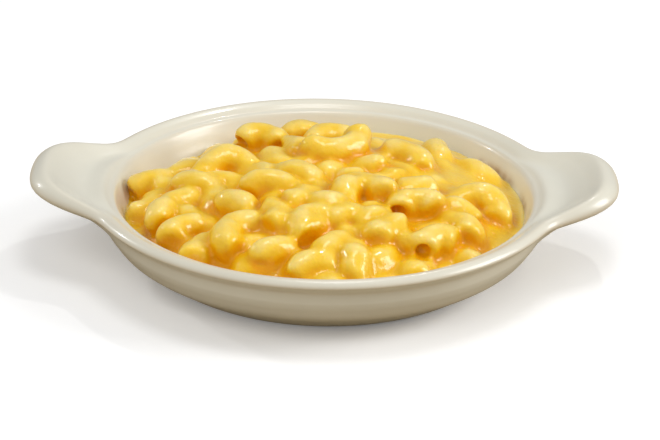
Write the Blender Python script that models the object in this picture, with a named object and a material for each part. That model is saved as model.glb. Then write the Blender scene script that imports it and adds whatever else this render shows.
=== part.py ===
"""Mac and cheese in its round two-eared baking dish.

Two solids: the glazed stoneware dish, and the heap of sauced elbow macaroni that lies in it.
The dish stands on its foot ring at z = 0, centred on the Z axis, with an ear at each end of the X axis.
Run with: blender --background --python part.py
"""

import math

import bmesh
import bpy
import numpy as np

MM = 0.001

# Dish: driving sizes
RIM_RADIUS = 80 * MM
RIM_HEIGHT = 27 * MM
EAR_REACH = 100 * MM
EAR_HEIGHT = 33 * MM
FOOT_RADIUS = 55.5 * MM
FOOT_WIDTH = 4 * MM
FOOT_DEPTH = 1.4 * MM
FLOOR_HEIGHT = 4.4 * MM
FLOOR_RADIUS = 46 * MM
LEDGE_RADIUS = 72 * MM
LEDGE_DROP = 2.6 * MM
LIP_DEPTH = 3.8 * MM

# Ears: half the angle that an ear takes, and the wide low flare where it leaves the rim
EAR_SPREAD = math.radians(17.6)
EAR_SHARPNESS = 4
FLARE_SPREAD = math.radians(34)
FLARE_SHARE = 0.06

# Macaroni: how full the dish is at its wall, and how the heap stands above that
FILL_HEIGHT = 18 * MM
HEAP_RISE = 17 * MM
HEAP_RADIUS = 70 * MM
HEAP_FULLNESS = 2.3
LEAN_BACK = 400 * MM
LEAN_LEFT = 500 * MM
GAP = 0.4 * MM

# Two low places at the back of the heap: middle (x, y), depth and width
HOLLOWS = [(-52 * MM, 34 * MM, 6.5 * MM, 16 * MM), (19 * MM, 53 * MM, 4 * MM, 14 * MM)]

# The elbows on top of the heap: width with sauce, half the length of the bend, how far they stand out,
# and where the middle of each lies (x, y in mm) with the way that it points (degrees from +X)
ELBOW_WIDTH = 10.6 * MM
ELBOW_REACH = 7 * MM
ELBOW_RELIEF = 5.2 * MM
ELBOWS = [
    (-59, 12, -12), (-50, -23, 53), (-45, -2, -10), (-42, -35, 30), (-25, -43, 63), (-19, -32, -78),
    (-29, -22, -44), (-32, 12, -5), (-23, 33, -15), (-9, 42, 10), (-10, 20, -50), (-17, -13, -3),
    (-7, -21, 51), (-4, -34, 58), (-16, -52, 25), (-3, -53, 20), (-41, -46, 13), (4, 34, 5),
    (5, 17, 32), (28, 18, -50), (39, 34, -85), (7, -16, -99), (17, -10, -58), (31, -5, 15),
    (31, -20, 20), (53, -14, -30), (45, -26, -52), (33, -38, 70), (23, -37, 51), (16, -30, 41),
    (10, -51, -92), (-38, 42, 30), (-12, 57, 5), (56, 14, 70), (-62, -8, 80), (44, -42, 40),
]

# Mesh
COLUMNS = 72
CROWDING = 0.6  # how much closer the columns stand at the ears than on average
RIM_STEPS = 16
OUTER_STEPS = 6
HEAP_CELLS = 38

GLAZE = {"colour": (0.76, 0.73, 0.62, 1), "roughness": 0.18}
CHEESE = {"colour": (0.84, 0.56, 0.09, 1), "roughness": 0.32}


def clear_scene():
    """Removes whatever the file opened with."""
    for obj in list(bpy.data.objects):
        bpy.data.objects.remove(obj)


def material(name, colour, roughness):
    """A plain non-metal surface."""
    made = bpy.data.materials.new(name)
    made.use_nodes = True
    shader = made.node_tree.nodes["Principled BSDF"]
    shader.inputs["Base Color"].default_value = colour
    shader.inputs["Roughness"].default_value = roughness
    shader.inputs["Metallic"].default_value = 0
    return made


def finished_mesh(name, bm):
    """The bmesh as mesh data, smooth apart from its sharp edges."""
    mesh = bpy.data.meshes.new(name)
    bm.to_mesh(mesh)
    bm.free()
    mesh.shade_smooth()
    mesh.set_sharp_from_angle(angle=math.radians(50))
    return mesh


def add_body(name, mesh, finish, collection):
    mesh.materials.append(finish)
    collection.objects.link(bpy.data.objects.new(name, mesh))


def spaced(line, count):
    """count points on a polyline, evenly spaced along its length."""
    along = np.concatenate([[0], np.cumsum(np.linalg.norm(np.diff(line, axis=0), axis=1))])
    wanted = np.linspace(0, along[-1], count)
    return np.stack([np.interp(wanted, along, line[:, k]) for k in range(2)], axis=1)


def curve_through(points, count):
    """count evenly spaced points on the smooth curve through points: a Catmull-Rom spline, whose
    tangent at each point is half the step from the point before to the point after."""
    p = np.array(points, float)
    p = np.concatenate([[2 * p[0] - p[1]], p, [2 * p[-1] - p[-2]]])
    t = np.linspace(0, 1, 24, endpoint=False)[:, None]
    spans = [
        0.5 * (2 * b + (c - a) * t + (2 * a - 5 * b + 4 * c - d) * t**2 + (3 * b - a - 3 * c + d) * t**3)
        for a, b, c, d in zip(p, p[1:], p[2:], p[3:])
    ]
    return spaced(np.concatenate([*spans, p[-2:-1]]), count)


def inner_line():
    """Inside of the bowl, from the middle of its floor up the wall to the ledge, as (radius, height)."""
    ledge = RIM_HEIGHT - LEDGE_DROP
    return np.array([
        (0, FLOOR_HEIGHT),
        (FLOOR_RADIUS * 0.6, FLOOR_HEIGHT),
        (FLOOR_RADIUS, FLOOR_HEIGHT + 0.5 * MM),
        (FLOOR_RADIUS + 10 * MM, FLOOR_HEIGHT + 2.4 * MM),
        (LEDGE_RADIUS - 10 * MM, FLOOR_HEIGHT + 4.9 * MM),
        (LEDGE_RADIUS - 6 * MM, ledge - 11 * MM),
        (LEDGE_RADIUS - 3.6 * MM, ledge - 7 * MM),
        (LEDGE_RADIUS - 2.1 * MM, ledge - 3.6 * MM),
        (LEDGE_RADIUS - 0.9 * MM, ledge - 1.1 * MM),
        (LEDGE_RADIUS, ledge),
    ])


def plain_rim_line(count):
    """Ledge, lip and under-lip where there is no ear: a flange that ends in a rolled lip."""
    middle = RIM_HEIGHT - LIP_DEPTH / 2
    points = [
        (LEDGE_RADIUS, RIM_HEIGHT - LEDGE_DROP),
        (RIM_RADIUS - 5 * MM, RIM_HEIGHT - 0.9 * MM),
        (RIM_RADIUS - 2 * MM, RIM_HEIGHT),
        (RIM_RADIUS, middle),
        (RIM_RADIUS - 1.6 * MM, RIM_HEIGHT - LIP_DEPTH),
        (RIM_RADIUS - 3.4 * MM, RIM_HEIGHT - LIP_DEPTH - 1.9 * MM),
        (RIM_RADIUS - 4.4 * MM, RIM_HEIGHT - LIP_DEPTH - 6 * MM),
    ]
    return curve_through(points, count)


def ear_line(count):
    """The same stretch through the middle of an ear: past a low crest and a valley, up the scooped
    ear to its thick rounded end, and back along its underside to the wall."""
    points = [
        (LEDGE_RADIUS, RIM_HEIGHT - LEDGE_DROP),
        (LEDGE_RADIUS + 4 * MM, RIM_HEIGHT - 0.6 * MM),
        (RIM_RADIUS + 2.5 * MM, RIM_HEIGHT - 1.0 * MM),
        (EAR_REACH - 11 * MM, EAR_HEIGHT - 3.6 * MM),
        (EAR_REACH - 5 * MM, EAR_HEIGHT),
        (EAR_REACH, EAR_HEIGHT - 3.4 * MM),
        (EAR_REACH - 3.6 * MM, EAR_HEIGHT - 7.2 * MM),
        (RIM_RADIUS + 6 * MM, RIM_HEIGHT - 5.2 * MM),
        (RIM_RADIUS - 4.4 * MM, RIM_HEIGHT - LIP_DEPTH - 8 * MM),
    ]
    return curve_through(points, count)


def outer_line(count):
    """Outside of the bowl, from under the lip in to the foot ring's outer edge."""
    points = [
        (RIM_RADIUS - 5.6 * MM, RIM_HEIGHT - 12.4 * MM),
        (RIM_RADIUS - 9.2 * MM, RIM_HEIGHT - 17.2 * MM),
        (FOOT_RADIUS + 8 * MM, 4.6 * MM),
        (FOOT_RADIUS + 3 * MM, 1.3 * MM),
        (FOOT_RADIUS, 0),
    ]
    return curve_through(points, count)


def ear_share(angle):
    """How much of an ear the rim has at this angle: 1 in the middle of an ear, 0 away from both."""
    off = abs((angle + math.pi / 2) % math.pi - math.pi / 2)
    tab = math.exp(-((off / EAR_SPREAD) ** EAR_SHARPNESS))
    flare = FLARE_SHARE * math.exp(-((off / FLARE_SPREAD) ** 2))
    return 1 - (1 - tab) * (1 - flare)


def column_angles():
    """Angles round the dish, closer together at the two ears."""
    even = np.arange(COLUMNS) * (2 * math.pi / COLUMNS)
    return even - CROWDING / 2 * np.sin(2 * even)


def dish_section(angle):
    """The dish's closed half section at this angle, from the floor's middle to the underside's."""
    share = ear_share(angle)
    rim = (1 - share) * plain_rim_line(RIM_STEPS) + share * ear_line(RIM_STEPS)
    foot_inside = FOOT_RADIUS - FOOT_WIDTH
    under = [
        (foot_inside, 0),
        (foot_inside - 1.6 * MM, FOOT_DEPTH),
        (foot_inside / 2, FOOT_DEPTH),
        (0, FOOT_DEPTH),
    ]
    return np.concatenate([inner_line()[:-1], rim, outer_line(OUTER_STEPS), under])


def dish_body(name):
    """The dish: its half sections, one to a column, joined side by side into a closed skin."""
    bm = bmesh.new()
    first = dish_section(0)
    poles = [bm.verts.new((0, 0, first[end, 1])) for end in (0, -1)]
    columns = []
    for angle in column_angles():
        ring = dish_section(angle)[1:-1]
        points = [(radius * math.cos(angle), radius * math.sin(angle), height) for radius, height in ring]
        columns.append([bm.verts.new(point) for point in points])
    for here, after in zip(columns, columns[1:] + columns[:1]):
        bm.faces.new((poles[0], here[0], after[0]))
        bm.faces.new((poles[1], after[-1], here[-1]))
        for row in range(len(here) - 1):
            bm.faces.new((here[row], here[row + 1], after[row + 1], after[row]))
    return finished_mesh(name, bm)


def heap_height(x, y):
    """Top of the heap at (x, y): a broad mound with its hollows, and on it the highest of the elbows
    there, each a rounded ridge."""
    fullness = 1 - min(1, math.hypot(x, y) / HEAP_RADIUS) ** HEAP_FULLNESS
    mound = FILL_HEIGHT + HEAP_RISE * fullness * (1 + y / LEAN_BACK - x / LEAN_LEFT)
    for middle_x, middle_y, depth, width in HOLLOWS:
        away = math.hypot(x - middle_x, y - middle_y) / width
        mound -= depth * math.exp(-(away**2)) * min(1, 4 * fullness)
    ridge = 0
    for middle_x, middle_y, heading in ELBOWS:
        off_x, off_y = x - middle_x * MM, y - middle_y * MM
        cosine, sine = math.cos(math.radians(heading)), math.sin(math.radians(heading))
        past_end = max(0, abs(off_x * cosine + off_y * sine) - ELBOW_REACH)
        away = math.hypot(past_end, off_y * cosine - off_x * sine) / (ELBOW_WIDTH / 2)
        ridge = max(ridge, math.sqrt(max(0, 1 - away**2 / 2)))
    return mound + ELBOW_RELIEF * (ridge - 0.5) * min(1, 4 * fullness)


def heap_underside():
    """The heap's side and underside, as (radius, height): from where it meets the air down the wall
    and in over the floor, a small gap inside the dish."""
    wall = inner_line()
    below = wall[(wall[:, 1] < FILL_HEIGHT - 2 * GAP) & (wall[:, 0] > 0)]
    rim = (np.interp(FILL_HEIGHT, wall[:, 1], wall[:, 0]), FILL_HEIGHT - GAP)
    return np.array([rim, *below[::-1]]) + (-GAP, GAP)


def on_disc(x, y):
    """Where a point of the square from -1 to 1 lies on the unit disc, each square ring becoming a circle."""
    if x == y == 0:
        return 0, 0
    if abs(x) > abs(y):
        radius, angle = x, math.pi / 4 * y / x
    else:
        radius, angle = y, math.pi / 2 - math.pi / 4 * x / y
    return radius * math.cos(angle), radius * math.sin(angle)


def heap_body(name):
    """The heap: a grid laid on a disc and lifted to the mound's height, its edge then drawn down the
    wall and in over the floor, and the hole left there closed."""
    side = heap_underside()
    bm = bmesh.new()
    bmesh.ops.create_grid(bm, x_segments=HEAP_CELLS, y_segments=HEAP_CELLS, size=1)
    for vertex in bm.verts:
        x, y = on_disc(vertex.co.x, vertex.co.y)
        vertex.co = (x * side[0, 0], y * side[0, 0], heap_height(x * side[0, 0], y * side[0, 0]))
    edges = [edge for edge in bm.edges if edge.is_boundary]
    for radius, height in side[1:]:
        drawn = bmesh.ops.extrude_edge_only(bm, edges=edges)["geom"]
        for vertex in (item for item in drawn if isinstance(item, bmesh.types.BMVert)):
            flat = vertex.co.to_2d().normalized() * radius
            vertex.co = (flat.x, flat.y, height)
        edges = [item for item in drawn if isinstance(item, bmesh.types.BMEdge) and item.is_boundary]
    bmesh.ops.holes_fill(bm, edges=edges)
    bmesh.ops.recalc_face_normals(bm, faces=bm.faces)
    return finished_mesh(name, bm)


def main():
    clear_scene()
    collection = bpy.data.collections.new("mac_and_cheese")
    bpy.context.scene.collection.children.link(collection)
    add_body("dish", dish_body("dish"), material("ivory_glaze", **GLAZE), collection)
    add_body("macaroni", heap_body("macaroni"), material("cheese_sauce", **CHEESE), collection)


main()
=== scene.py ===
import math

import bpy
import numpy as np
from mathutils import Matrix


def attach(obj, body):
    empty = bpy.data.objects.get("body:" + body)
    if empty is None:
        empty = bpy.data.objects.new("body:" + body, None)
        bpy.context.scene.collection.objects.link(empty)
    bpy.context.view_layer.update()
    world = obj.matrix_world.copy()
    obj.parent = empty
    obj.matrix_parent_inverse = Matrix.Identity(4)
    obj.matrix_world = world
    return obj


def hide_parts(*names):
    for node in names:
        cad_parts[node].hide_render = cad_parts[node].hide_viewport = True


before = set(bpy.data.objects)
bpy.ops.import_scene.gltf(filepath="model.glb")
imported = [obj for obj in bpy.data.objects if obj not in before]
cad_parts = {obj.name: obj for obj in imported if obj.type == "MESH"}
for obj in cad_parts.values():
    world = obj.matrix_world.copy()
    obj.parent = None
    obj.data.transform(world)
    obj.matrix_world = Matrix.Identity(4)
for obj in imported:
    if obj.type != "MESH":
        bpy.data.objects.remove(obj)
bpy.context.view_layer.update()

import openvdb
from mathutils import Matrix, Vector

# Dish
# ---------------------------------------------------------------------------
# A round shirred-egg dish of ivory glazed stoneware, cast in one piece: a bowl on a foot ring, a
# sloping flange that ends in a rolled lip, and an upturned lug at each end that grows out of the lip.
RIM_RADIUS = 80
RIM_HEIGHT = 27
LIP_DEPTH = 3.8
EAR_REACH = 100
EAR_HEIGHT = 33
LEDGE_RADIUS = 72
LEDGE_HEIGHT = RIM_HEIGHT - 2.6
FLOOR_HEIGHT = 4.4
FLOOR_RADIUS = 46
FOOT_RADIUS = 55.5
FOOT_WIDTH = 4
FOOT_DEPTH = 1.4
EAR_SPREAD = math.radians(17.6)
COLUMNS_OF_DISH = 288
EAR_SHARPNESS = 4
FLARE_SPREAD = math.radians(34)
FLARE_SHARE = 0.06


def curve_through(points, count):
    """count evenly spaced points on the Catmull-Rom curve through points: between two points b and c
    it is half of 2b + (c - a)t + (2a - 5b + 4c - d)t^2 + (3b - a - 3c + d)t^3."""
    p = np.array(points, float)
    p = np.concatenate([[2 * p[0] - p[1]], p, [2 * p[-1] - p[-2]]])
    t = np.linspace(0, 1, 40, endpoint=False)[None, :, None]
    a, b, c, d = (p[k : len(p) - 3 + k, None] for k in range(4))
    line = 0.5 * (2 * b + (c - a) * t + (2 * a - 5 * b + 4 * c - d) * t**2 + (3 * b - a - 3 * c + d) * t**3)
    line = np.concatenate([line.reshape(-1, p.shape[1]), p[-2:-1]])
    along = np.concatenate([[0], np.cumsum(np.linalg.norm(np.diff(line, axis=0), axis=1))])
    wanted = np.linspace(0, along[-1], count)
    return np.stack([np.interp(wanted, along, line[:, k]) for k in range(p.shape[1])], axis=1)


BOWL_INSIDE = curve_through([
    (0, FLOOR_HEIGHT),
    (FLOOR_RADIUS * 0.6, FLOOR_HEIGHT),
    (FLOOR_RADIUS, FLOOR_HEIGHT + 0.5),
    (FLOOR_RADIUS + 10, FLOOR_HEIGHT + 2.4),
    (LEDGE_RADIUS - 10, FLOOR_HEIGHT + 4.9),
    (LEDGE_RADIUS - 6, LEDGE_HEIGHT - 11),
    (LEDGE_RADIUS - 3.6, LEDGE_HEIGHT - 7),
    (LEDGE_RADIUS - 2.1, LEDGE_HEIGHT - 3.6),
    (LEDGE_RADIUS - 1.1, LEDGE_HEIGHT - 1.4),
    (LEDGE_RADIUS - 0.5, LEDGE_HEIGHT - 0.35),
    (LEDGE_RADIUS, LEDGE_HEIGHT),
], 80)
PLAIN_RIM = curve_through([
    (LEDGE_RADIUS, LEDGE_HEIGHT),
    (LEDGE_RADIUS + 1.6, LEDGE_HEIGHT + 0.45),
    (RIM_RADIUS - 4.6, RIM_HEIGHT - 0.8),
    (RIM_RADIUS - 2, RIM_HEIGHT),
    (RIM_RADIUS, RIM_HEIGHT - LIP_DEPTH / 2),
    (RIM_RADIUS - 1.6, RIM_HEIGHT - LIP_DEPTH),
    (RIM_RADIUS - 3.4, RIM_HEIGHT - LIP_DEPTH - 1.9),
    (RIM_RADIUS - 4.4, RIM_HEIGHT - LIP_DEPTH - 6),
], 70)
EAR_RIM = curve_through([
    (LEDGE_RADIUS, LEDGE_HEIGHT),
    (LEDGE_RADIUS + 1.6, LEDGE_HEIGHT + 0.5),
    (LEDGE_RADIUS + 4, RIM_HEIGHT - 0.9),
    (RIM_RADIUS + 2.5, RIM_HEIGHT - 1.0),
    (EAR_REACH - 11, EAR_HEIGHT - 3.6),
    (EAR_REACH - 5, EAR_HEIGHT),
    (EAR_REACH, EAR_HEIGHT - 3.4),
    (EAR_REACH - 3.6, EAR_HEIGHT - 7.2),
    (RIM_RADIUS + 6, RIM_HEIGHT - 5.2),
    (RIM_RADIUS - 4.4, RIM_HEIGHT - LIP_DEPTH - 8),
], 70)
BOWL_OUTSIDE = curve_through([
    (RIM_RADIUS - 5.6, RIM_HEIGHT - 12.4),
    (RIM_RADIUS - 9.2, RIM_HEIGHT - 17.2),
    (FOOT_RADIUS + 8, 4.6),
    (FOOT_RADIUS + 3, 1.3),
    (FOOT_RADIUS, 0),
], 34)
UNDERSIDE = np.array([
    (FOOT_RADIUS - 0.5, 0),
    (FOOT_RADIUS - FOOT_WIDTH, 0),
    (FOOT_RADIUS - FOOT_WIDTH - 1.6, FOOT_DEPTH),
    (FOOT_RADIUS - FOOT_WIDTH - 2.2, FOOT_DEPTH),
    (FOOT_RADIUS * 0.4, FOOT_DEPTH),
    (0, FOOT_DEPTH),
])


def closed_surface(name, grid, top, bottom):
    """Mesh of a closed body from a grid of points in mm: rows run round the body and close on
    themselves, and the first and last columns are joined to the points top and bottom."""
    around, along = grid.shape[:2]
    points = np.concatenate([grid.reshape(-1, 3), [top, bottom]]) * 0.001
    here = np.arange(around)[:, None] * along
    after = np.roll(here, -1, axis=0)
    step = np.arange(along - 1)
    quads = np.stack([here + step, here + step + 1, after + step + 1, after + step], axis=-1).reshape(-1, 4)
    first = np.stack([np.full(around, around * along), here[:, 0], after[:, 0]], axis=1)
    end = along - 1
    last = np.stack([np.full(around, around * along + 1), after[:, 0] + end, here[:, 0] + end], axis=1)
    mesh = bpy.data.meshes.new(name)
    mesh.from_pydata(points.tolist(), [], quads.tolist() + first.tolist() + last.tolist())
    mesh.shade_smooth()
    return mesh


def dish_grid(columns):
    """Points of the dish: its half section at angle a, turned by a. Between the plain rim and the
    ear's rim the section is a mix, with the ear's share 1 - (1 - e^-(a/spread)^4)(1 - flare)."""
    even = np.arange(columns) * 2 * math.pi / columns
    angle = even - 0.25 * np.sin(2 * even)
    off = np.abs((angle + math.pi / 2) % math.pi - math.pi / 2)
    tab = np.exp(-((off / EAR_SPREAD) ** EAR_SHARPNESS))
    flare = FLARE_SHARE * np.exp(-((off / FLARE_SPREAD) ** 2))
    share = (1 - (1 - tab) * (1 - flare))[:, None, None]
    rim = (1 - share) * PLAIN_RIM + share * EAR_RIM
    inside, outside, under = (
        np.broadcast_to(part, (columns, *part.shape))
        for part in (BOWL_INSIDE[1:-1], BOWL_OUTSIDE, UNDERSIDE[:-1])
    )
    section = np.concatenate([inside, rim, outside, under], axis=1)
    radius, height = section[..., 0], section[..., 1]
    return np.stack([radius * np.cos(angle)[:, None], radius * np.sin(angle)[:, None], height], axis=-1)


def add_piece(name, mesh, finish):
    mesh.materials.clear()
    mesh.materials.append(finish)
    obj = bpy.data.objects.new(name, mesh)
    bpy.context.scene.collection.objects.link(obj)
    return obj


def add_node(tree, kind, inputs=(), **settings):
    """A shader node with its settings and the values or links of its inputs."""
    node = tree.nodes.new(kind)
    for key, value in settings.items():
        setattr(node, key, value)
    for socket, value in dict(inputs).items():
        if isinstance(value, bpy.types.NodeSocket):
            tree.links.new(value, node.inputs[socket])
        else:
            node.inputs[socket].default_value = value
    return node


def add_ramp(tree, factor, stops):
    """A colour ramp through (place, colour) stops."""
    node = tree.nodes.new("ShaderNodeValToRGB")
    ramp = node.color_ramp
    for element, (place, colour) in zip(ramp.elements, (stops[0], stops[-1])):
        element.position, element.color = place, (*colour, 1)
    for place, colour in stops[1:-1]:
        ramp.elements.new(place).color = (*colour, 1)
    tree.links.new(factor, node.inputs[0])
    return node.outputs[0]


def mixed(tree, factor, a, b):
    """Colour a turning into colour b as factor goes from 0 to 1."""
    node = add_node(tree, "ShaderNodeMix", data_type="RGBA")
    for socket, value in ((node.inputs[0], factor), (node.inputs[6], a), (node.inputs[7], b)):
        if isinstance(value, bpy.types.NodeSocket):
            tree.links.new(value, socket)
        else:
            socket.default_value = value
    return node.outputs[2]


def give_attribute(mesh, name, values):
    mesh.attributes.new(name, "FLOAT", "POINT").data.foreach_set("value", np.ravel(values).astype(np.float32))


def edge_share(grid):
    """How sharply the section turns at each point: nothing up to 0.16 radians a mm, 1 from 0.66 on, and
    smoothed along the section."""
    step = np.diff(grid, axis=1)
    length = np.linalg.norm(step, axis=2) + 1e-6
    cosine = np.sum(step[:, 1:] * step[:, :-1], axis=2) / (length[:, 1:] * length[:, :-1])
    turn = np.arccos(np.clip(cosine, -1, 1)) / (0.5 * (length[:, 1:] + length[:, :-1]))
    share = np.clip((turn - 0.16) / 0.5, 0, 1)
    share = np.pad(share, ((0, 0), (1, 1)))
    for _ in range(3):
        share[:, 1:-1] = (share[:, :-2] + 2 * share[:, 1:-1] + share[:, 2:]) / 4
    return share


def stain_share(grid):
    """Baked-on sauce on the wall just above the fill, at two stretches of the back right: a bell in
    height times a bell in angle, broken up by waves. A stretch is its middle and spread in degrees and
    its height and depth in mm."""
    x, y, z = np.moveaxis(grid, -1, 0)
    angle = np.degrees(np.arctan2(y, x))
    inside = (np.hypot(x, y) < LEDGE_RADIUS - 0.4) & (z > 8)
    waves = 0.75 + 0.25 * np.sin(angle * 1.1) * np.sin(angle * 0.37 + 1) + 0.12 * np.sin(angle * 4.3)
    share = 0
    for middle, spread, height, depth in ((27, 10, 18.4, 1.5), (3, 6, 18.2, 1.3)):
        share = share + np.exp(-(((angle - middle) / spread) ** 4) - ((z - height) / depth) ** 2)
    return np.clip(share * waves, 0, 1) * inside * 0.9


def ivory_glaze():
    """Ivory stoneware glaze: warm white, a little browner where it runs thin on edges, with a very
    slight ripple."""
    made = bpy.data.materials.new("ivory_glaze")
    made.use_nodes = True
    tree = made.node_tree
    shader = tree.nodes["Principled BSDF"]
    place = add_node(tree, "ShaderNodeTexCoord").outputs["Object"]
    cloud = add_node(
        tree, "ShaderNodeTexNoise", {"Vector": place, "Scale": 22.0, "Detail": 3.0, "Roughness": 0.55}
    )
    edge = add_node(tree, "ShaderNodeAttribute", attribute_name="edge").outputs["Fac"]
    stain = add_node(tree, "ShaderNodeAttribute", attribute_name="stain").outputs["Fac"]
    ivory = add_ramp(tree, cloud.outputs["Fac"], [(0.3, (0.680, 0.655, 0.550)), (0.7, (0.725, 0.705, 0.605))])
    worn = mixed(tree, edge, ivory, (0.66, 0.60, 0.475, 1))
    worn = mixed(tree, stain, worn, (0.36, 0.21, 0.085, 1))
    ripple = add_node(tree, "ShaderNodeTexNoise", {"Vector": place, "Scale": 60.0, "Detail": 2.0})
    relief = add_node(
        tree, "ShaderNodeBump", {"Height": ripple.outputs["Fac"], "Strength": 0.05, "Distance": 0.002}
    )
    tree.links.new(worn, shader.inputs["Base Color"])
    tree.links.new(relief.outputs[0], shader.inputs["Normal"])
    shader.inputs["Roughness"].default_value = 0.32
    shader.inputs["Coat Weight"].default_value = 0.4
    shader.inputs["Coat Roughness"].default_value = 0.14
    return made


GLAZE = ivory_glaze()
dish_points = dish_grid(COLUMNS_OF_DISH)
dish_mesh = closed_surface("dish_glazed", dish_points, (0, 0, FLOOR_HEIGHT), (0, 0, FOOT_DEPTH))
give_attribute(dish_mesh, "edge", np.append(edge_share(dish_points), [0, 0]))
give_attribute(dish_mesh, "stain", np.append(stain_share(dish_points), [0, 0]))
dish = add_piece("dish_glazed", dish_mesh, GLAZE)
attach(dish, "root")
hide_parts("dish")

# Macaroni
# ---------------------------------------------------------------------------
# Boiled elbow macaroni, short bent tubes of durum wheat dough, heaped loosely in a low mound that fills
# the dish. The upper elbows are listed one by one, and the ones under them fall at random.
FILL_HEIGHT = 18
HEAP_RISE = 16
HEAP_RADIUS = 70
HOLLOWS = [(-52, 34, 6.5, 16), (19, 53, 4, 14)]
TUBE_RADIUS = 4.4
BORE_RADIUS = 3.0
COAT = 0.85


def mound(x, y):
    """Height of the heap without its elbows: a dome, 1 - (r / R)^2.3, leaning to the back left, less a
    bell-shaped hollow at each of two places."""
    fullness = 1 - np.minimum(1, np.hypot(x, y) / HEAP_RADIUS) ** 2.3
    height = FILL_HEIGHT + HEAP_RISE * fullness * (1 + y / 400 - x / 500)
    for middle_x, middle_y, depth, width in HOLLOWS:
        away = np.hypot(x - middle_x, y - middle_y) / width
        height = height - depth * np.exp(-(away**2)) * np.minimum(1, 4 * fullness)
    return height


# x, y of the middle of the bend; lift over its usual height; heading and pitch of the tube there; roll:
# where the bend's centre lies, 0 to the left, 180 to the right, -90 below; angle of the bend; bend
# radius; which ends stand open: 1 the tail, 2 the head, 3 both.
LAID = [
    (-58.5, 10, 0.8, 6, 0, -120, 80, 12, 0),
    (-53, -16, 0.8, 60, 3, 180, 110, 12, 0),
    (-43, -4, 0.4, -18, 0, -110, 100, 8, 0),
    (-47.5, -31, 0.5, 50, 0, 180, 70, 13, 0),
    (-31, -38, 1.4, 66, 4, -175, 150, 9.5, 0),
    (-15, -31, 0.0, -78, -4, 180, 120, 8, 0),
    (-29, -22, 0.5, -38, 0, -110, 100, 7.5, 2),
    (-33, 13, 0.6, 0, 0, -140, 150, 8, 2),
    (-22, 34, 1.6, -10, 0, -155, 110, 8.5, 1),
    (-8, 43, 0.6, 8, 0, -100, 100, 8, 0),
    (-9, 21, -1.0, -60, 0, -130, 90, 8, 2),
    (-47, 15, -1.2, 8, 0, -120, 100, 8, 0),
    (2, 34, 1.2, 5, 0, -150, 120, 8, 2),
    (6, 15, 1.4, 32, 2, 15, 150, 10.5, 0),
    (-18, -11, 0.8, 0, 0, -115, 110, 9, 0),
    (-8, -4, 0.2, -25, 0, -100, 100, 8, 0),
    (-8, -21, -0.6, 52, 0, 0, 60, 12, 0),
    (-6, -34, 0.8, 60, 3, -165, 140, 8.5, 0),
    (-16, -49, 1.0, 38, 0, -100, 80, 10, 0),
    (-3, -54, 0.3, 18, 0, -120, 100, 8.5, 0),
    (-41, -44, 0.5, 62, 0, 170, 80, 11, 0),
    (30, 21, 0.9, -42, -4, -160, 100, 11, 0),
    (40, 32, 0.8, -80, -6, -110, 100, 8, 0),
    (54, 25, 0.2, -50, -7, -110, 100, 10, 0),
    (7, -15, 0.5, -100, -6, -90, 110, 8, 0),
    (17, -10, 0.2, -32, 0, 175, 110, 8, 1),
    (31, -6, -0.8, 12, 0, 0, 60, 13, 0),
    (30.5, -17, 1.3, 8, 0, -168, 150, 7, 1),
    (53.5, -4, 2.4, -18, -5, -150, 190, 7.8, 1),
    (46, -24, 0.2, -45, -3, 180, 120, 8.5, 0),
    (36, -37, 1.2, -145, 0, -10, 120, 8, 2),
    (20.5, -36, 0.6, 42, 0, 175, 85, 11, 0),
    (16, -30, 0.0, 42, 0, -90, 90, 8, 0),
    (7, -30, 0.0, 22, 0, -100, 90, 8, 0),
    (10, -51, 0.6, -92, -8, -90, 100, 8, 0),
    (1, -24, 0.2, -18, 0, -95, 80, 8, 0),
    (3, -46, 0.2, 40, 0, -90, 90, 8, 0),
    (45, -16, 0.6, -35, -3, -100, 90, 8, 0),
]


def laid_elbows():
    """Frames of the laid elbows: middle, tangent, inward normal, bend radius, half angle, open ends."""
    found = []
    for x, y, lift, heading, pitch, roll, bend, radius, ends in LAID:
        yaw, tip, turn = (math.radians(value) for value in (heading, pitch, roll))
        tangent = np.array([math.cos(yaw) * math.cos(tip), math.sin(yaw) * math.cos(tip), math.sin(tip)])
        left = np.array([-math.sin(yaw), math.cos(yaw), 0])
        inward = math.cos(turn) * left + math.sin(turn) * np.cross(tangent, left)
        height = float(mound(x, y)) + 2 - TUBE_RADIUS - COAT + lift
        found.append((np.array([x, y, height]), tangent, inward, radius, math.radians(bend / 2), ends))
    return found


def fallen_elbows(count, seed):
    """Elbows under the laid ones, spread on a sunflower spiral and turned every way, but for those that
    would fill an open end."""
    draw = np.random.default_rng(seed)
    steps = np.arange(count) + 0.5
    spiral = steps * math.pi * (3 - math.sqrt(5))
    reach = 60 * np.sqrt(steps / count)
    found = []
    open_ends = [middle for middle, *_, ends in laid_elbows() if ends]
    for x, y in zip(reach * np.cos(spiral), reach * np.sin(spiral)):
        yaw, tip, turn = draw.uniform(0, 2 * math.pi), draw.normal(0, 0.2), draw.uniform(0, 2 * math.pi)
        tangent = np.array([math.cos(yaw) * math.cos(tip), math.sin(yaw) * math.cos(tip), math.sin(tip)])
        left = np.array([-math.sin(yaw), math.cos(yaw), 0])
        inward = math.cos(turn) * left + math.sin(turn) * np.cross(tangent, left)
        height = float(mound(x, y)) - 6.6 - 3.2 / (1 + math.exp(-(x * 0.9 + y * 0.5 - 36) / 5))
        size = draw.uniform(7.5, 9.5), draw.uniform(0.8, 1.1)
        if min(math.hypot(x - far[0], y - far[1]) for far in open_ends) > 9:
            found.append((np.array([x, y, height]), tangent, inward, *size, 0))
    return found


ELBOWS = laid_elbows() + fallen_elbows(count=84, seed=7)


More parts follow.
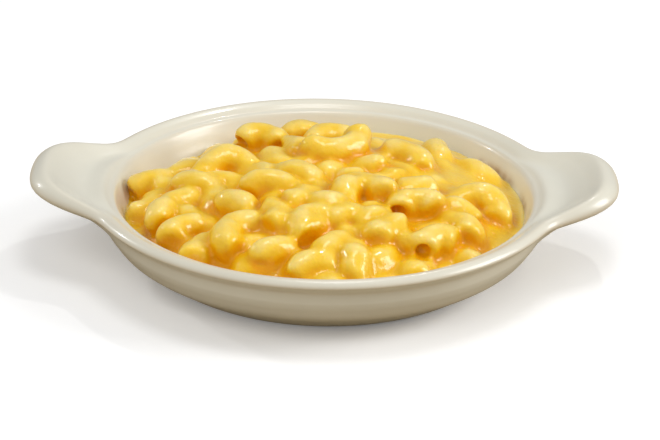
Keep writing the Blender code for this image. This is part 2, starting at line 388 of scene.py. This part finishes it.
def elbow_grid(elbow, around, along):
    """Points of one hollow elbow: a circle carried along the bend's arc, out along the outside of the
    tube and back along its bore. The ends stop 2.2 or 2.8 mm short, so that the sauce rounds them off."""
    middle, tangent, inward, radius, half, ends = elbow
    centre = middle + radius * inward
    across = np.cross(tangent, inward)
    tail, head = (-2.2 if ends & bit else -2.8 for bit in (1, 2))
    sweep = np.linspace(-half - tail / radius, half + head / radius, along)
    turn = np.concatenate([sweep, sweep[::-1], sweep[:1]])
    thick = np.concatenate([np.full(along, TUBE_RADIUS), np.full(along, BORE_RADIUS), [TUBE_RADIUS]])
    out = -inward[None] * np.cos(turn)[:, None] + tangent[None] * np.sin(turn)[:, None]
    spin = np.linspace(0, 2 * math.pi, around, endpoint=False)
    ring = np.cos(spin)[:, None, None] * out + np.sin(spin)[:, None, None] * across
    return centre + radius * out + thick[:, None] * ring


def joined_tubes(name, grids):
    """One mesh of many rings of rings: each grid closes on itself both ways."""
    around, along = grids.shape[1], grids.shape[2] - 1
    points = grids[:, :, :-1].reshape(-1, 3) * 0.001
    base = np.arange(len(grids))[:, None, None] * around * along
    row, step = np.arange(around)[None, :, None], np.arange(along)[None, None, :]
    here, after = base + row * along, base + (row + 1) % around * along
    following = (step + 1) % along
    quads = np.stack([here + step, here + following, after + following, after + step], axis=-1)
    mesh = bpy.data.meshes.new(name)
    mesh.from_pydata(points.tolist(), [], quads.reshape(-1, 4).tolist())
    mesh.shade_smooth()
    mesh.set_sharp_from_angle(angle=math.radians(60))
    return mesh


def cooked_pasta():
    """Cooked durum pasta: pale translucent yellow, moist."""
    made = bpy.data.materials.new("cooked_pasta")
    made.use_nodes = True
    tree = made.node_tree
    shader = tree.nodes["Principled BSDF"]
    place = add_node(tree, "ShaderNodeTexCoord").outputs["Object"]
    cloud = add_node(tree, "ShaderNodeTexNoise", {"Vector": place, "Scale": 180.0, "Detail": 2.0})
    colour = add_ramp(tree, cloud.outputs["Fac"], [(0.3, (0.80, 0.52, 0.13)), (0.7, (0.87, 0.66, 0.26))])
    relief = add_node(
        tree, "ShaderNodeBump", {"Height": cloud.outputs["Fac"], "Strength": 0.2, "Distance": 0.0004}
    )
    tree.links.new(colour, shader.inputs["Base Color"])
    tree.links.new(relief.outputs[0], shader.inputs["Normal"])
    shader.inputs["Roughness"].default_value = 0.35
    shader.inputs["Subsurface Weight"].default_value = 0.35
    shader.inputs["Subsurface Radius"].default_value = (1.0, 0.6, 0.2)
    shader.inputs["Subsurface Scale"].default_value = 0.002
    return made


PASTA = cooked_pasta()
macaroni = add_piece(
    "elbow_macaroni",
    joined_tubes("elbow_macaroni", np.array([elbow_grid(elbow, 24, 12) for elbow in ELBOWS])),
    PASTA,
)
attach(macaroni, "root")
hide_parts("macaroni")

# Cheese sauce
# ---------------------------------------------------------------------------
# Smooth orange-yellow cheese sauce that coats each elbow, hangs between them and pools against the wall.
# Its skin is the surface of a distance field, because it flows round every elbow and joins itself.
CELL = 0.6
FLOOR_OF_SAUCE = 13.2
SAUCED_BORE = 2.35
BORE_DEPTH = 2.8
MENISCUS = 1.5
POOL_MENISCUS = 2.8
FIELD_REACH = 72
FIELD_TOP = 42
END_ROUNDING = 3.6
WALL_OVERLAP = 0.45
UNDER_SKIN = 0.25


def soft_min(a, b, width):
    """Smaller of two distances, rounded where they differ by less than width."""
    near = np.maximum(width - np.abs(a - b), 0) / width
    return np.minimum(a, b) - near * near * width / 4


def soft_max(a, b, width):
    return -soft_min(-a, -b, width)


def sauce_level(x, y):
    """Height of the pooled sauce: under the heap's crown, nearly up to it at the right, back and front,
    never under the fill at the wall, and drawn up at the wall itself in a curve e^-(distance / 1.4)."""
    pool = 1 / (1 + np.exp(-(x * 0.9 + y * 0.5 - 33) / 9))
    back = np.exp(-(((x - 19) / 16) ** 2) - ((y - 53) / 14) ** 2)
    front = np.exp(-(((x - 8) / 26) ** 2) - ((y + 58) / 12) ** 2)
    from_wall = np.maximum(LEDGE_RADIUS - 4.5 - np.hypot(x, y), 0)
    level = mound(x, y) - 5.6 + 4.0 * pool + 3.0 * back + 2.4 * front
    lowest = 15.4 - 1.2 * np.exp(-(((x + 50) / 22) ** 2) - ((y - 38) / 22) ** 2)
    return soft_max(level, lowest, 2.0) + 1.0 * np.exp(-from_wall / 1.4)


def bent_tube(points, elbow):
    """Distances from points to an elbow's centreline circle, and past its tail and its head along it."""
    middle, tangent, inward, radius, half, _ = elbow
    off = points - (middle + radius * inward)
    along, out, side = off @ tangent, -(off @ inward), off @ np.cross(tangent, inward)
    from_line = np.hypot(np.hypot(along, out) - radius, side)
    turned = np.arctan2(along, out)
    return from_line, radius * (-turned - half), radius * (turned - half)


def box_blur(field, reach, passes):
    """field averaged over 2 reach + 1 cells along each axis, by running sums, several times."""
    for _ in range(passes):
        for axis in range(3):
            before = np.repeat(field.take([0], axis), reach + 1, axis)
            beyond = np.repeat(field.take([-1], axis), reach, axis)
            padded = np.concatenate([before, field, beyond], axis)
            total = np.cumsum(padded, axis, dtype=np.float64)
            width = 2 * reach + 1
            ahead = total.take(range(width, total.shape[axis]), axis)
            behind = total.take(range(0, total.shape[axis] - width), axis)
            field = ((ahead - behind) / width).astype(np.float32)
    return field


def uneven(x, y, z):
    """How the coat's thickness varies, in mm: sine waves every way, eight of 7 to 15 mm and ten finer
    ones of 2.8 to 5 mm, added up."""
    draw = np.random.default_rng(3)
    total = np.zeros(x.shape, np.float32)
    for count, shortest, longest, size in ((8, 7, 15, 0.11), (10, 2.8, 5, 0.028)):
        for _ in range(count):
            way = draw.normal(size=3)
            way *= 2 * math.pi / draw.uniform(shortest, longest) / np.linalg.norm(way)
            phase = draw.uniform(0, 6.28)
            total += size * np.sin(way[0] * x + way[1] * y + way[2] * z + phase).astype(np.float32)
    return total


def sauce_field():
    """Signed distance, in mm, to the sauce's skin on a grid of cells: coated elbows joined to each other
    and to the pool by a meniscus, bores taken out of the open ends, all of it kept inside the bowl."""
    axis_x = np.arange(-FIELD_REACH, FIELD_REACH, CELL, dtype=np.float32)
    axis_z = np.arange(FLOOR_OF_SAUCE - 2 * CELL, FIELD_TOP, CELL, dtype=np.float32)
    x, y, z = np.meshgrid(axis_x, axis_x, axis_z, indexing="ij")
    tubes = np.full(x.shape, 9, np.float32)
    coated = TUBE_RADIUS + COAT
    corner = (-FIELD_REACH, -FIELD_REACH, axis_z[0])
    bores = []
    for elbow in ELBOWS:
        middle, _, inward, radius, _, ends = elbow
        centre = middle + radius * inward
        low = np.floor((centre - radius - coated - 3 - corner) / CELL).astype(int)
        high = np.ceil((centre + radius + coated + 3 - corner) / CELL).astype(int)
        low, high = np.maximum(low, 0), np.minimum(high, tubes.shape)
        if (high <= low).any():
            continue
        part = tuple(slice(a, b) for a, b in zip(low, high))
        from_line, past_tail, past_head = bent_tube(np.stack([x[part], y[part], z[part]], -1), elbow)
        tube = soft_max(from_line - coated, np.maximum(past_tail, past_head) - 0.3, END_ROUNDING)
        tubes[part] = soft_min(tubes[part], tube, MENISCUS)
        for bit, past in ((1, past_tail), (2, past_head)):
            if ends & bit:
                bore = soft_max(from_line - SAUCED_BORE, -past - BORE_DEPTH, 2.5)
                bores.append((part, np.maximum(bore, past - 3)))
    level = sauce_level(x[..., 0], y[..., 0])
    waves = uneven(x, y, z)
    field = soft_min(tubes + waves, (z - level[..., None]) * 0.9 + waves * 0.4, POOL_MENISCUS)
    field = box_blur(field, 1, 1)
    for part, bore in bores:
        field[part] = soft_max(field[part], -bore, 1.5)
    wall = np.interp(z, BOWL_INSIDE[:, 1], BOWL_INSIDE[:, 0]).astype(np.float32)
    field = np.maximum(field, np.hypot(x, y) - wall - WALL_OVERLAP)
    return np.maximum(field, FLOOR_OF_SAUCE - z), axis_x, axis_z


def sampled(field, places):
    """Values of a grid field at places given in cells, mixed linearly between the eight round each."""
    low = np.clip(np.floor(places).astype(int), 0, np.array(field.shape) - 2)
    share = places - low
    total = 0
    for corner in np.ndindex(2, 2, 2):
        weight = np.prod(np.where(corner, share, 1 - share), axis=1)
        total = total + weight * field[tuple((low + corner).T)]
    return total


def drawn_under(mesh, field, corner):
    """Moves a mesh's points that are outside the field's skin, or less than UNDER_SKIN mm inside it, back
    along the field's slope by what they lack."""
    points = np.empty(len(mesh.vertices) * 3, np.float32)
    mesh.vertices.foreach_get("co", points)
    places = (points.reshape(-1, 3) * 1000 - corner) / CELL
    slope = np.stack([
        sampled(field, places + step) - sampled(field, places - step) for step in np.eye(3)
    ], axis=1) / 2
    slope /= np.linalg.norm(slope, axis=1, keepdims=True) + 1e-3
    lack = np.maximum(sampled(field, places) + UNDER_SKIN, 0)[:, None]
    inside = np.all((places > 1) & (places < np.array(field.shape) - 2), axis=1, keepdims=True)
    moved = (places - inside * lack / CELL * slope) * CELL + corner
    mesh.vertices.foreach_set("co", np.ravel(moved * 0.001).astype(np.float32))
    mesh.update()


def sauce_mesh(name):
    """Skin of the sauce, with the attribute crevice, which is painted shade: low on ridges, about 1 deep
    between elbows and deeper where sauce lies over a point, from the field's average round each point and
    its value 3.2 mm above it. The pasta is drawn under the skin first, twice, because the field's slope isn't
    quite even."""
    field, axis_x, axis_z = sauce_field()
    for _ in range(2):
        drawn_under(macaroni.data, field, np.array([axis_x[0], axis_x[0], axis_z[0]]))
    grid = openvdb.FloatGrid(background=3.0)
    grid.copyFromArray(field)
    places, triangles, quads = grid.convertToPolygons(isovalue=0.0, adaptivity=0.01)
    points = places * CELL + (axis_x[0], axis_x[0], axis_z[0])
    mesh = bpy.data.meshes.new(name)
    mesh.from_pydata((points * 0.001).tolist(), [], triangles.tolist() + quads.tolist())
    mesh.shade_smooth()
    around = sampled(box_blur(np.clip(field, -4, 4), 3, 2), places)
    above = sampled(np.clip(field, -4, 4), places + (0, 0, 3.2 / CELL))
    # painted shade: the crevice value makes the sauce deeper orange between elbows and under them
    crevice_shade = 0.5 - around / 2.6 + np.clip(0.42 - above / 5, -0.2, 0.5) * 0.9
    give_attribute(mesh, "crevice_shade", crevice_shade)
    return mesh


def cheese_sauce():
    """Cheese sauce: opaque yellow, with painted shade in deeper orange between and under elbows, glossy and
    moist.
    """
    made = bpy.data.materials.new("cheese_sauce")
    made.use_nodes = True
    tree = made.node_tree
    shader = tree.nodes["Principled BSDF"]
    place = add_node(tree, "ShaderNodeTexCoord").outputs["Object"]
    # painted shade: crevice turns the sauce deeper orange between and under elbows
    crevice_shade = add_node(tree, "ShaderNodeAttribute", attribute_name="crevice_shade").outputs["Fac"]
    cloud = add_node(tree, "ShaderNodeTexNoise", {"Vector": place, "Scale": 70.0, "Detail": 3.0})
    shade = add_node(tree, "ShaderNodeMath", {0: cloud.outputs["Fac"], 1: 0.35}, operation="MULTIPLY_ADD")
    tree.links.new(crevice_shade, shade.inputs[2])
    colour = add_ramp(tree, shade.outputs[0], [
        (0.30, (0.88, 0.66, 0.17)), (0.48, (0.87, 0.58, 0.05)),
        (0.72, (0.80, 0.47, 0.006)), (1.0, (0.76, 0.34, 0.001)),
    ])
    grain = add_node(tree, "ShaderNodeTexNoise", {"Vector": place, "Scale": 640.0, "Detail": 2.5})
    relief = add_node(
        tree, "ShaderNodeBump", {"Height": grain.outputs["Fac"], "Strength": 0.45, "Distance": 0.0006}
    )
    tree.links.new(colour, shader.inputs["Base Color"])
    tree.links.new(relief.outputs[0], shader.inputs["Normal"])
    shader.inputs["Roughness"].default_value = 0.28
    shader.inputs["Subsurface Weight"].default_value = 0.35
    shader.inputs["Subsurface Radius"].default_value = (1.0, 0.8, 0.1)
    shader.inputs["Subsurface Scale"].default_value = 0.003
    shader.inputs["Specular IOR Level"].default_value = 0.25
    shader.inputs["Coat Weight"].default_value = 0.55
    shader.inputs["Coat Roughness"].default_value = 0.05
    return made


SAUCE = cheese_sauce()
sauce = add_piece("cheese_sauce", sauce_mesh("cheese_sauce"), SAUCE)
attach(sauce, "root")

# Inside of the heap
# ---------------------------------------------------------------------------
# Under the upper layer the elbows and the sauce are one packed mass that fills the bowl to its floor.
CORE_TOP = FLOOR_OF_SAUCE + 0.6
below = BOWL_INSIDE[(BOWL_INSIDE[:, 1] < CORE_TOP) & (BOWL_INSIDE[:, 0] > 0)][::-1] + (-0.1, 0.1)
profile = np.concatenate([[(below[0, 0] * 0.5, CORE_TOP)], below])
turns = np.linspace(0, 2 * math.pi, 96, endpoint=False)[:, None]
core_grid = np.stack([
    profile[:, 0] * np.cos(turns), profile[:, 0] * np.sin(turns), profile[:, 1] + 0 * turns
], axis=-1)
core_mesh = closed_surface("heap_core", core_grid, (0, 0, CORE_TOP), (0, 0, FLOOR_HEIGHT + 0.1))
core = add_piece("heap_core", core_mesh, SAUCE)
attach(core, "root")

# Floor, lamps and camera
# ---------------------------------------------------------------------------
# The object stands on a table that looks white to the camera and warm to everything else. A large lamp at
# the right and a wide soft one at the front left light it, and small ones give the sauce its sparkles.
bpy.ops.mesh.primitive_plane_add(size=6, location=(0, 0, -0.0002))
floor = bpy.context.object
floor.name = "floor"
table = bpy.data.materials.new("floor")
table.use_nodes = True
table_tree = table.node_tree
table_shader = table_tree.nodes["Principled BSDF"]
seen = add_node(table_tree, "ShaderNodeLightPath").outputs["Is Camera Ray"]
table_colour = mixed(table_tree, seen, (0.46, 0.37, 0.24, 1), (0.97, 0.97, 0.97, 1))
glow = add_node(table_tree, "ShaderNodeMapRange", {"Value": seen, "To Max": 0.12})
table_tree.links.new(table_colour, table_shader.inputs["Base Color"])
table_tree.links.new(glow.outputs[0], table_shader.inputs["Emission Strength"])
table_shader.inputs["Emission Color"].default_value = (1, 1, 1, 1)
table_shader.inputs["Roughness"].default_value = 0.9
floor.data.materials.append(table)

world = bpy.data.worlds.new("studio")
bpy.context.scene.world = world
world.use_nodes = True
background = world.node_tree.nodes["Background"]
background.inputs["Color"].default_value = (1, 1, 1, 1)
straight = add_node(world.node_tree, "ShaderNodeLightPath").outputs["Is Camera Ray"]
strength = add_node(world.node_tree, "ShaderNodeMapRange", {"Value": straight, "To Min": 0.34, "To Max": 1.0})
world.node_tree.links.new(strength.outputs[0], background.inputs["Strength"])

MIDDLE_OF_DISH = Vector((0, 0, 0.02))


def add_lamp(name, place, size, power):
    """A square lamp of that size in metres and power in watts, turned to the middle of the dish."""
    lamp = bpy.data.lights.new(name, "AREA")
    lamp.shape, lamp.size, lamp.energy = "SQUARE", size, power
    obj = bpy.data.objects.new(name, lamp)
    obj.location = place
    obj.rotation_euler = (MIDDLE_OF_DISH - Vector(place)).to_track_quat("-Z", "Y").to_euler()
    bpy.context.scene.collection.objects.link(obj)
    return obj


add_lamp("top", (0.05, -0.05, 1.00), 0.3, 1.8)
add_lamp("key", (0.86, -0.08, 0.50), 0.45, 5.4)
add_lamp("key_small", (0.25, 0.45, 0.90), 0.04, 1.0)
add_lamp("rim_small", (-0.80, 0.35, 0.50), 0.035, 1.0)
fill = add_lamp("fill", (-0.40, -0.65, 0.65), 0.7, 3.7)
fill.visible_glossy = False

ELEVATION = math.radians(23.3)
ROLL = math.radians(1.1)
DISTANCE = 0.85
LOOKED_AT = Vector((0, 0, 0.027))
FRAME_WIDTH = 660
SCALE_AT_DISH = 2930
forward = Vector((0, math.cos(ELEVATION), -math.sin(ELEVATION)))
right = Vector((1, 0, 0))
upward = right.cross(forward)
camera_right = right * math.cos(ROLL) + upward * math.sin(ROLL)
camera_up = upward * math.cos(ROLL) - right * math.sin(ROLL)
lens = bpy.data.cameras.new("camera")
camera = bpy.data.objects.new("camera", lens)
bpy.context.scene.collection.objects.link(camera)
turned = Matrix((camera_right, camera_up, -forward)).transposed().to_4x4()
camera.matrix_world = Matrix.Translation(LOOKED_AT - forward * DISTANCE) @ turned
lens.sensor_width = 36
lens.lens = lens.sensor_width * SCALE_AT_DISH * DISTANCE / FRAME_WIDTH
lens.shift_x = 5.6 / FRAME_WIDTH
lens.shift_y = -38 / FRAME_WIDTH
bpy.context.scene.camera = camera
bpy.context.scene.view_settings.view_transform = "Standard"

bpy.context.view_layer.update()
